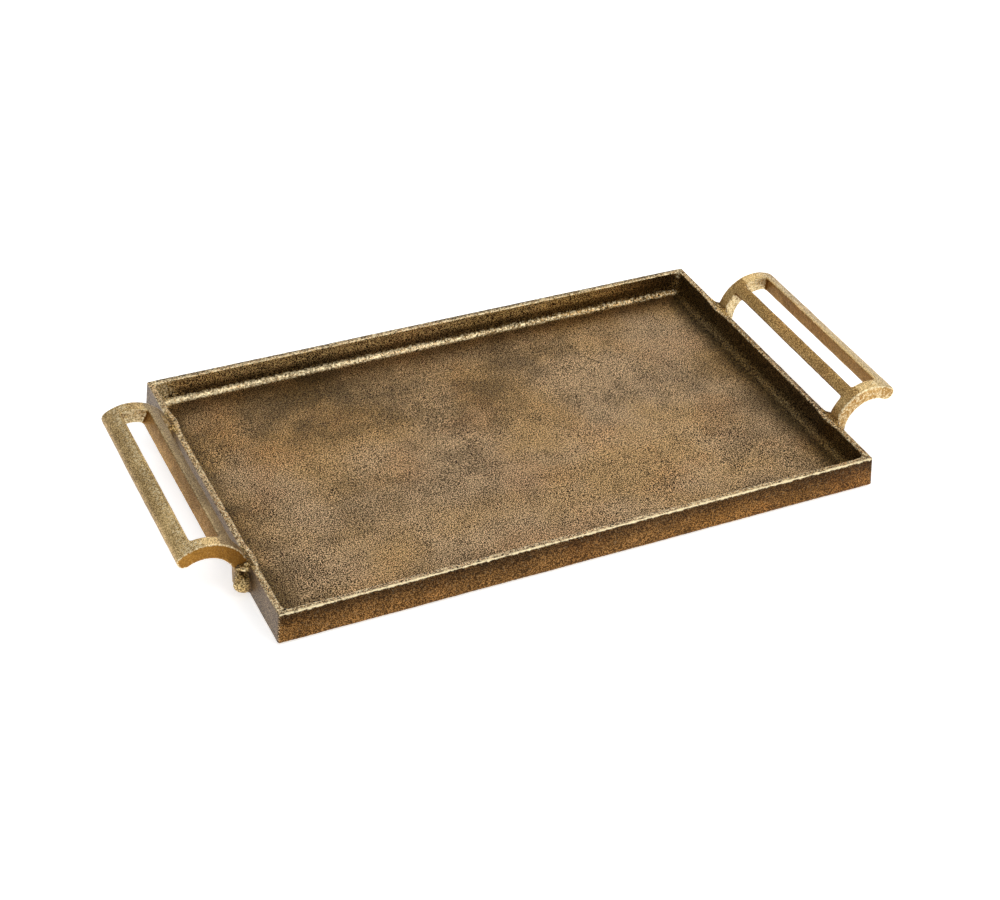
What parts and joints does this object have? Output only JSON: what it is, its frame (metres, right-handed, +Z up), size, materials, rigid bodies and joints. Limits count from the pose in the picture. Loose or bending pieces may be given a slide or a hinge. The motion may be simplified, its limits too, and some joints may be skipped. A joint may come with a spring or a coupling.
{
  "type": "serving tray",
  "caption": "Shallow rectangular cast brass serving tray with low walls and an arched, pierced carrying handle at each end.",
  "frame": {"origin": "on the surface that the tray stands on, under the middle of the tray", "axes": "+X along the tray from the left handle to the right handle, +Y towards the back wall, +Z up"},
  "size_m": [0.597, 0.3084, 0.05],
  "materials": {
    "pan_brass": "sand-cast, antiqued brown with worn bright edges",
    "handle_brass": "sand-cast, rubbed to a satin gold",
    "braze_metal": "rough, as brazed, darkened in the hollows",
    "felt": "dark brown felt"
  },
  "bodies": {
    "root": {"tray_pan": "pan_brass", "left_handle": "handle_brass", "right_handle": "handle_brass", "left_front_braze": "braze_metal", "left_back_braze": "braze_metal", "right_front_braze": "braze_metal", "right_back_braze": "braze_metal", "left_front_foot_pad": "felt", "left_back_foot_pad": "felt", "right_front_foot_pad": "felt", "right_back_foot_pad": "felt"}
  },
  "joints": []
}
